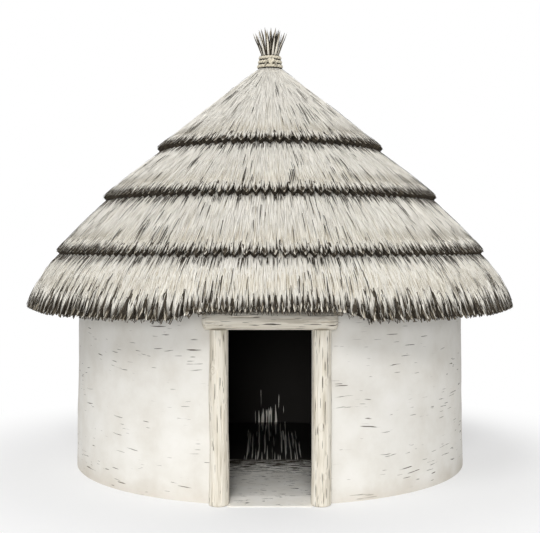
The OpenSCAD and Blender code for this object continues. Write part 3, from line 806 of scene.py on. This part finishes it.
class Log:
    """A log by its place (u round it, v along it), with crooks, cracks and knots."""

    def __init__(self, seed, length, radius, facing, knots, cracks, rounding):
        self.seed, self.length, self.radius, self.rounding = seed, length, radius, rounding
        self.knots = [(facing + u, *knot) for u, *knot in knots]
        self.cracks = [(facing + u, *crack) for u, *crack in cracks]

    def crook(self, v):
        p = Vector((self.seed * 3.1, v * 1.3, 0))
        return LOG_CROOK[0] * noise.noise(p), LOG_CROOK[1] * noise.noise(p + Vector((5, 0, 0)))

    def end_drop(self, v):
        """How far the surface draws in at the rounded ends."""
        low, high = self.rounding
        drop = 0.0
        if low and v < low:
            drop += low - sqrt(max(low * low - (low - v) ** 2, 0))
        if high and v > self.length - high:
            w = v - self.length + high
            drop += high - sqrt(max(high * high - w * w, 0))
        return drop

    def surface(self, u, v):
        """Distance of the surface from the log's own axis."""
        base = self.radius(v)
        r = base
        for around, along, shift, height in LOG_UNEVEN:
            place = Vector((cos(u) * around, sin(u) * around, v * along + self.seed * shift))
            r += height * noise.noise(place)
        for knot_u, knot_v, size, height in self.knots:
            d = hypot(turned(u, knot_u) * base, 0.75 * (v - knot_v))
            r += height * bump(d, size) - 0.6 * height * bump(abs(d - 0.16 * size), 0.12 * size)
        for crack_u, v0, v1, wander in self.cracks:
            if v0 < v < v1:
                middle = crack_u + wander * noise.noise(Vector((v * 2.2, crack_u * 3, self.seed)))
                ends = min(1.0, (v - v0) / CRACK_FADE, (v1 - v) / CRACK_FADE)
                r -= CRACK_DEPTH * ends * bump(abs(turned(u, middle)) * base, CRACK_HALF_W)
        return r - self.end_drop(v)

    def mesh(self, name, place):
        """place turns (along, a, b) into a point of the hut."""
        rings = int(self.length / LOG_STEP)
        places = [self.length * i / rings for i in range(rings + 1)]
        rows = [(u, v, max(self.surface(u, v), LOG_LEAST_R)) for v in places for u in turn(LOG_SIDES)]
        rows += [(0.0, 0.0, 0.0), (0.0, self.length, 0.0)]
        points, faces = [], []
        for u, v, r in rows:
            ca, cb = self.crook(v)
            points.append(place(v, r * cos(u) + ca, r * sin(u) + cb))
        for i in range(rings):
            faces += band(i * LOG_SIDES, (i + 1) * LOG_SIDES, LOG_SIDES)
        first, last, top = len(points) - 2, len(points) - 1, rings * LOG_SIDES
        for k in range(LOG_SIDES):
            n = (k + 1) % LOG_SIDES
            faces += [(first, n, k), (last, top + k, top + n)]
        piece = face_mesh(name, points, faces, 60)
        around, along, ring_r = np.array(rows).T
        point_value(piece, "grain_a", np.cos(around) * GRAIN_R)
        point_value(piece, "grain_b", np.sin(around) * GRAIN_R)
        point_value(piece, "grain_v", along + self.seed * 5)
        point_value(piece, "ring_r", ring_r)
        return piece


def door_post(node, seed, knots, cracks):
    low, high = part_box(node)
    x, y, length = (low.x + high.x) / 2, (low.y + high.y) / 2, high.z - low.z
    foot_r = (high.x - low.x) / 2

    def radius(v):
        return foot_r - POST_TAPER * v / length

    log = Log(seed, length, radius, FRONT, knots, cracks, POST_ROUNDING)
    piece = log.mesh(node + "_log", lambda v, a, b: (x + a, y + b, low.z + v))
    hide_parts(node)
    dress(piece, wood)


def door_lintel():
    low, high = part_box("lintel")
    y, z = (low.y + high.y) / 2, (low.z + high.z) / 2
    half_h, radius = (high.z - low.z) / 2, (high.y - low.y) / 2
    log = Log(9, high.x - low.x, lambda v: radius, pi, LINTEL_KNOTS, LINTEL_CRACKS, LINTEL_ROUNDING)
    piece = log.mesh("lintel_log", lambda v, a, b: (low.x + v, y + a, z + max(-half_h, min(half_h, b))))
    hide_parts("lintel")
    dress(piece, wood)


# Wall and floor

def curved_slab(outer, inner_r, z0, z1, front):
    """A stretch of round wall that ends at the jambs: over the door, or round the hut."""
    rows = max(4, int((z1 - z0) / WALL_GRID))
    heights = [z0 + (z1 - z0) * k / rows for k in range(rows + 1)]
    loop = [(outer(z), z) for z in heights] + [(inner_r, z) for z in reversed(heights[::2])]
    ends = [FRONT + (-1 if front else 1) * asin(JAMB_X / r) for r, z in loop]
    sweep = [2 * (FRONT - e) % tau for e in ends]
    columns = max(12, int(max(sweep) * WALL_R / WALL_GRID))
    points = []
    for i in range(columns + 1):
        near_end = min(i, columns - i) / columns * max(sweep) * WALL_R
        for (r, z), start, arc in zip(loop, ends, sweep):
            a = start + arc * i / columns
            p, out = Vector(polar(r, a, z)), Vector(polar(1, a, 0))
            fade = min(1.0, near_end / END_FADE) if z > 0.02 else FOOT_EVEN
            points.append(p + out * uneven(p, DAUB_UNEVEN) * fade)
    m = len(loop)
    faces = [tuple(range(m)), tuple(reversed(range(columns * m, columns * m + m)))]
    for i in range(columns):
        faces += band(i * m, (i + 1) * m, m, flip=True)
    return points, faces


def wall():
    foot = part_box("wall_right")[1]
    top_r = max(hypot(x, y) for x, y, z in node_vertices("wall_back_right") if z > foot.z - 0.01)
    inner_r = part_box("earth_floor")[1].x
    over_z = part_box("wall_over_door")[0].z

    def outer(z):
        return foot.x + (top_r - foot.x) * z / foot.z

    rest, over_door = (curved_slab(outer, inner_r, z, foot.z, z > 0) for z in (0.0, over_z))
    piece = face_mesh("wall_daub", *merge((rest, over_door)), 40)
    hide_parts(*[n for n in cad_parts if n.startswith("wall_") and n != "wall_plate"])
    dress(piece, daub)


def earth_floor():
    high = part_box("earth_floor")[1]
    sides = FLOOR_SIDES
    points = [(0, 0, high.z)]
    for i in range(1, FLOOR_RINGS + 1):
        r = high.x * i / FLOOR_RINGS
        for a in turn(sides):
            p = Vector(polar(r, a, high.z))
            p.z += min(0.0, uneven(p, FLOOR_UNEVEN))
            points.append(tuple(p))
    faces = [(0, 1 + k, 1 + (k + 1) % sides) for k in range(sides)]
    for i in range(FLOOR_RINGS - 1):
        faces += band(1 + i * sides, 1 + (i + 1) * sides, sides, flip=True)
    rim, foot = 1 + (FLOOR_RINGS - 1) * sides, len(points)
    points += [(p[0], p[1], 0.0) for p in points[rim:rim + sides]]
    faces += band(rim, foot, sides, flip=True)
    faces.append(tuple(reversed(range(foot, foot + sides))))
    piece = face_mesh("floor_earth", points, faces, 50)
    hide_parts("earth_floor")
    dress(piece, earth)


# Materials

class Nodes:
    """Short calls that add nodes to a shader tree. An input is a number, a colour or a node's output."""

    def __init__(self, tree):
        self.tree = tree

    def add(self, kind, inputs=None, **settings):
        node = self.tree.nodes.new("ShaderNode" + kind)
        for key, value in settings.items():
            setattr(node, key, value)
        for key, value in (inputs or {}).items():
            if isinstance(value, bpy.types.NodeSocket):
                self.tree.links.new(value, node.inputs[key])
            else:
                node.inputs[key].default_value = value
        return node

    def math(self, operation, a, b=0.0, c=0.0):
        return self.add("Math", {0: a, 1: b, 2: c}, operation=operation).outputs[0]

    def times(self, a, b, plus=0.0):
        return self.math("MULTIPLY_ADD", a, b, plus)

    def minus(self, a, b):
        return self.math("SUBTRACT", a, b)

    def vector(self, x, y, z):
        return self.add("CombineXYZ", {0: x, 1: y, 2: z}).outputs[0]

    def coords(self):
        return self.add("TexCoord").outputs["Object"]

    def xyz(self):
        return self.add("SeparateXYZ", {0: self.coords()}).outputs

    def cylinder(self):
        """Azimuth round the hut, distance from its axis, and height."""
        x, y, z = self.xyz()
        return self.math("ARCTAN2", y, x), self.math("SQRT", self.times(x, x, plus=self.times(y, y))), z

    def value(self, name):
        return self.add("Attribute", attribute_name=name).outputs["Fac"]

    def noise(self, coords, scale, detail=2.0, roughness=0.5):
        inputs = {"Vector": coords, "Scale": scale, "Detail": detail, "Roughness": roughness}
        return self.add("TexNoise", inputs).outputs["Fac"]

    def fade(self, value, start, end, low=0.0, high=1.0, **settings):
        """From low at start to high at end, and level past both."""
        return self.add("MapRange", {0: value, 1: start, 2: end, 3: low, 4: high}, **settings).outputs[0]

    def ramp(self, value, *stops):
        """A colour ramp with stops (position, grey or colour)."""
        node = self.add("ValToRGB", {"Fac": value})
        while len(node.color_ramp.elements) < len(stops):
            node.color_ramp.elements.new(0.5)
        for element, (position, colour) in zip(node.color_ramp.elements, stops):
            element.position = position
            element.color = (*colour, 1) if isinstance(colour, tuple) else (colour, colour, colour, 1)
        return node.outputs["Color"]

    def mix(self, factor, a, b):
        a, b = (c if isinstance(c, bpy.types.NodeSocket) else (*c, 1) for c in (a, b))
        return self.add("Mix", {0: factor, 6: a, 7: b}, data_type="RGBA").outputs[2]


class Finish(Nodes):
    """A new material, to which nodes are added until it is done."""

    def __init__(self, name, roughness):
        self.material = bpy.data.materials.new(name)
        self.material.use_nodes = True
        super().__init__(self.material.node_tree)
        self.shader = self.tree.nodes["Principled BSDF"]
        self.shader.inputs["Roughness"].default_value = roughness
        self.shader.inputs["Specular IOR Level"].default_value = 0.25

    def done(self, colour, height, strength, distance):
        """The material, with its colour and with bumps from a height."""
        node = self.add("Bump", {"Height": height, "Strength": strength, "Distance": distance})
        self.tree.links.new(colour, self.shader.inputs["Base Color"])
        self.tree.links.new(node.outputs["Normal"], self.shader.inputs["Normal"])
        return self.material


def unshaded_streaks(t):
    """Thin pale streaks, 1 on them, where the painted shade is left out, that run over the floor and up the
    far wall, fewer there.
    """
    x, y, z = t.xyz()
    run = t.times(z, 5.0, plus=y)
    place = t.vector(t.times(x, 46.0), t.times(run, 0.6), 4.0)
    aside = t.math("ABSOLUTE", t.minus(x, 0.02))
    fewer = t.fade(t.times(aside, 4.0, plus=run), 3.0, 6.0, high=0.34)
    sparse = t.fade(aside, 0.3, 0.42, high=0.3)
    value = t.minus(t.minus(t.noise(place, 1.0, 1), fewer), sparse)
    return t.ramp(value, (0.545, 0.0), (0.575, 1.0))


def straw_material():
    """Sun-bleached grass: pale stems with dark ones among them, and near-black straw as painted shade at the
    hems, streaked along their length.
    """
    t = Finish("straw", 0.75)
    azimuth, radius, z = t.cylinder()
    patch = t.noise(t.coords(), 1.6, 3)
    streak = t.noise(t.vector(t.times(azimuth, 90), radius, z), 2.0, 2)
    value = t.times(t.minus(patch, 0.5), 0.16, plus=t.value("tone"))
    value = t.times(t.minus(streak, 0.5), 0.16, plus=value)
    # Tones near 0 also serve the straw of painted shade at the hems.
    colour = t.ramp(value, (0, (0.03, 0.024, 0.017)), (0.2, (0.1, 0.08, 0.055)), (0.45, (0.45, 0.39, 0.29)),
                    (0.7, (0.76, 0.71, 0.6)), (1, (0.92, 0.89, 0.82)))
    return t.done(colour, streak, 0.2, 0.004)


def thatch_bed_material():
    """Packed thatch: pale stems where it faces the sky, and near-black painted shade where it faces sideways
    or down, as at the cut ends and inside.
    """
    t = Finish("thatch_bed", 0.9)
    azimuth, radius, z = t.cylinder()
    streak = t.noise(t.vector(t.times(azimuth, 160), radius, z), 2.0, 3)
    # Painted shade: near-black straw for the faces that turn away from the sky.
    dark = t.ramp(streak, (0.3, (0.012, 0.01, 0.008)), (0.55, (0.045, 0.036, 0.025)),
                  (0.75, (0.11, 0.09, 0.06)))
    stem = t.noise(t.vector(t.times(azimuth, 420), radius, t.times(z, 3)), 2.0, 1)
    pale = t.ramp(stem, (0.36, (0.3, 0.25, 0.18)), (0.5, (0.7, 0.65, 0.54)), (0.6, (0.9, 0.87, 0.79)))
    # Pale where the face turns up, painted shade where it turns sideways or down.
    normal = t.add("SeparateXYZ", {0: t.add("NewGeometry").outputs["Normal"]}).outputs
    return t.done(t.mix(t.fade(normal[2], 0.15, 0.3), dark, pale), streak, 0.8, 0.01)


def daub_material():
    """Limewashed daub with level marks where each lift was smoothed, darker and browner towards the foot,
    and near black on the inside as painted shade.
    """
    t = Finish("daub", 0.88)
    azimuth, radius, z = t.cylinder()
    around = t.times(azimuth, WALL_R)
    level = t.times(t.noise(t.vector(around, 0.0, z), 1.2, 1), 0.12, plus=z)
    dash = t.noise(t.vector(t.times(around, 3.4), t.times(level, 52.0), 0.0), 1.0, 1.5, 0.6)
    gap = t.noise(t.vector(around, z, 3.0), 2.3, 2)
    line = t.times(t.ramp(dash, (0.665, 0.0), (0.685, 1.0)), t.ramp(gap, (0.45, 0.0), (0.52, 1.0)))
    mottle = t.noise(t.coords(), 2.4, 6, 0.6)
    grain = t.noise(t.coords(), 60.0, 4, 0.6)
    plaster = t.ramp(mottle, (0.3, (0.72, 0.69, 0.63)), (0.55, (0.8, 0.78, 0.73)),
                     (0.75, (0.84, 0.82, 0.78)))
    marked = t.mix(t.times(line, 0.95), plaster, (0.13, 0.11, 0.09))
    # Darker and browner towards the foot.
    foot = t.times(t.ramp(t.times(mottle, 0.18, plus=z), (0.1, 1.0), (0.26, 0.0)), 0.35)
    foot_darkened = t.mix(foot, marked, (0.52, 0.45, 0.36))
    # Inside, the wall is near black as painted shade, but for pale streaks on its back half.
    back_streaks = t.times(unshaded_streaks(t), t.math("GREATER_THAN", t.xyz()[1], 0.0))
    painted_shade_inside = t.mix(back_streaks, (0.02, 0.018, 0.016), (0.9, 0.87, 0.8))
    height = t.times(line, -1.2, plus=t.times(grain, 0.35, plus=mottle))
    return t.done(t.mix(t.math("LESS_THAN", radius, 2.1), foot_darkened, painted_shade_inside), height, 0.35, 0.006)


def wood_material():
    """Weathered log: silvery surface, dark grain, checks and knots, rings on the ends."""
    t = Finish("weathered_log", 0.78)
    grain = t.vector(t.value("grain_a"), t.value("grain_b"), t.times(t.value("grain_v"), 0.05))
    fine, broad, crack = t.noise(grain, 95.0, 3, 0.6), t.noise(grain, 26.0, 2), t.noise(grain, 90.0, 1)
    rings = t.math("SINE", t.times(t.value("ring_r"), 900.0, plus=t.times(broad, 9.0)))
    value = t.times(rings, 0.06, plus=t.times(broad, 0.6, plus=t.times(fine, 0.4)))
    colour = t.ramp(value, (0.28, (0.46, 0.41, 0.32)), (0.46, (0.74, 0.69, 0.59)), (0.7, (0.85, 0.81, 0.72)))
    dark = t.ramp(crack, (0.652, 0.0), (0.676, 1.0))
    cracked = t.mix(t.times(dark, 0.92), colour, (0.06, 0.048, 0.034))
    return t.done(cracked, t.times(dark, -0.8, plus=fine), 0.5, 0.003)


def pole_material():
    """Round poles, dark brown as painted shade for the inside of the hut."""
    t = Finish("painted_shade_pole", 0.7)
    streak = t.noise(t.coords(), 22.0, 4, 0.6)
    brown = t.ramp(streak, (0.3, (0.045, 0.032, 0.022)), (0.6, (0.14, 0.1, 0.07)), (0.8, (0.24, 0.18, 0.12)))
    return t.done(brown, streak, 0.5, 0.004)


def earth_material():
    """Beaten earth, pale and scratched by the doorway, paler there as painted light against the shade of the
    eaves, and near black further in as painted shade.
    """
    t = Finish("beaten_earth", 0.92)
    x, y, z = t.xyz()
    dash = t.noise(t.vector(t.times(x, 4.0), t.times(y, 22.0), 0.0), 1.5, 3, 0.6)
    mottle = t.noise(t.coords(), 5.0, 5, 0.6)
    # Pale earth: its own colour, made paler as painted light against the shade of the eaves.
    pale_earth = t.ramp(mottle, (0.3, (0.84, 0.81, 0.74)), (0.7, (0.93, 0.91, 0.86)))
    limit = t.times(t.fade(y, -1.3, -0.35), -0.22, plus=0.62)
    marks = t.fade(t.minus(dash, limit), 0.0, 0.03)
    earth_by_door = t.mix(marks, pale_earth, (0.1, 0.085, 0.065))
    # Further in, the floor is near black as painted shade, but for pale streaks.
    painted_shade_floor = t.mix(unshaded_streaks(t), (0.018, 0.016, 0.013), (0.9, 0.87, 0.8))
    return t.done(t.mix(t.fade(y, -0.4, -0.3), earth_by_door, painted_shade_floor), t.times(marks, -0.5, plus=mottle), 0.4, 0.006)


def rope_material():
    """Twisted grass rope, with painted shade in the hollows between its strands and turns."""
    t = Finish("grass_rope", 0.8)
    fibre = t.noise(t.coords(), 130.0, 4, 0.65)
    colour = t.ramp(fibre, (0.3, (0.5, 0.44, 0.33)), (0.5, (0.74, 0.68, 0.54)), (0.7, (0.86, 0.81, 0.69)))
    painted_hollow_shade = t.fade(t.value("depth"), 0.66, 0.95, low=1.0, high=0.0)
    return t.done(t.mix(painted_hollow_shade, colour, (0.03, 0.024, 0.016)), fibre, 0.7, 0.003)


def dress_frame():
    """Materials of the CAD nodes that still show."""
    for name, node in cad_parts.items():
        if "rafter" in name or "batten" in name or name in ("wall_plate", "crown_block", "inner_lintel"):
            material = pole
        elif name in COURSES:
            material = thatch_bed
        elif name in ("earth_floor", "threshold"):
            material = earth
        else:
            continue
        for material_slot in node.material_slots:
            material_slot.material = material


# Stage, light and camera

def stage_floor():
    """A pale floor that keeps the shadow and fades to white."""
    bpy.ops.mesh.primitive_plane_add(size=120)
    plane = bpy.context.object
    plane.name = "stage_floor"
    t = Finish("stage_floor", 0.9)
    t.shader.inputs["Base Color"].default_value = (0.92, 0.92, 0.92, 1)
    t.shader.inputs["Specular IOR Level"].default_value = 0.0
    distance = t.add("VectorMath", {0: t.coords()}, operation="LENGTH").outputs["Value"]
    far = t.fade(distance, 2.6, 5.0, low=0.45, interpolation_type="SMOOTHSTEP")
    seen = t.add("LightPath").outputs["Is Camera Ray"]
    white = t.add("Emission", {"Color": (1, 1, 1, 1), "Strength": 1.0}).outputs[0]
    blend = t.add("MixShader", {0: t.times(far, seen), 1: t.shader.outputs[0], 2: white}).outputs[0]
    t.tree.links.new(blend, t.tree.nodes["Material Output"].inputs["Surface"])
    plane.data.materials.append(t.material)


def world_light():
    """White where it is seen or mirrored, and softer as a light."""
    world = bpy.data.worlds.new("studio")
    bpy.context.scene.world = world
    world.use_nodes = True
    t = Nodes(world.node_tree)
    background = t.tree.nodes["Background"]
    paths = t.add("LightPath").outputs
    mirrored = t.math("MAXIMUM", paths["Is Glossy Ray"], paths["Is Transmission Ray"])
    strength = t.fade(t.math("MAXIMUM", paths["Is Camera Ray"], mirrored), 0.0, 1.0, low=0.38)
    t.tree.links.new(strength, background.inputs["Strength"])
    background.inputs["Color"].default_value = (1, 1, 1, 1)


def lamp(name, azimuth, elevation, strength, angle):
    """A soft sun, with the place it shines from in degrees."""
    data = bpy.data.lights.new(name, "SUN")
    data.energy = strength
    data.angle = radians(angle)
    e = radians(elevation)
    source = Vector(polar(cos(e), radians(azimuth), sin(e)))
    link(name, data).rotation_euler = source.to_track_quat("Z", "Y").to_euler()


def camera():
    data = bpy.data.cameras.new("camera")
    data.sensor_width = SENSOR_MM
    data.lens = SENSOR_MM * FOCAL_PX / IMAGE_W
    view = link("camera", data)
    view.location = (0, CAMERA_Y, CAMERA_Z)
    view.rotation_euler = (radians(90 - CAMERA_PITCH), 0, 0)
    bpy.context.scene.camera = view


straw = straw_material()
thatch_bed = thatch_bed_material()
daub = daub_material()
wood = wood_material()
pole = pole_material()
earth = earth_material()
rope_fibre = rope_material()

camera()
dress_frame()
thatch()
tuft()
binding()
door_post("door_post_left", 2, LEFT_KNOTS, LEFT_CRACKS)
door_post("door_post_right", 4, RIGHT_KNOTS, RIGHT_CRACKS)
door_lintel()
wall()
earth_floor()
stage_floor()
world_light()
lamp("key", azimuth=-118, elevation=58, strength=0.6, angle=20)
lamp("front", azimuth=-92, elevation=36, strength=0.98, angle=16)
lamp("low", azimuth=-94, elevation=8.5, strength=0.95, angle=16)
bpy.context.scene.view_settings.view_transform = "Standard"
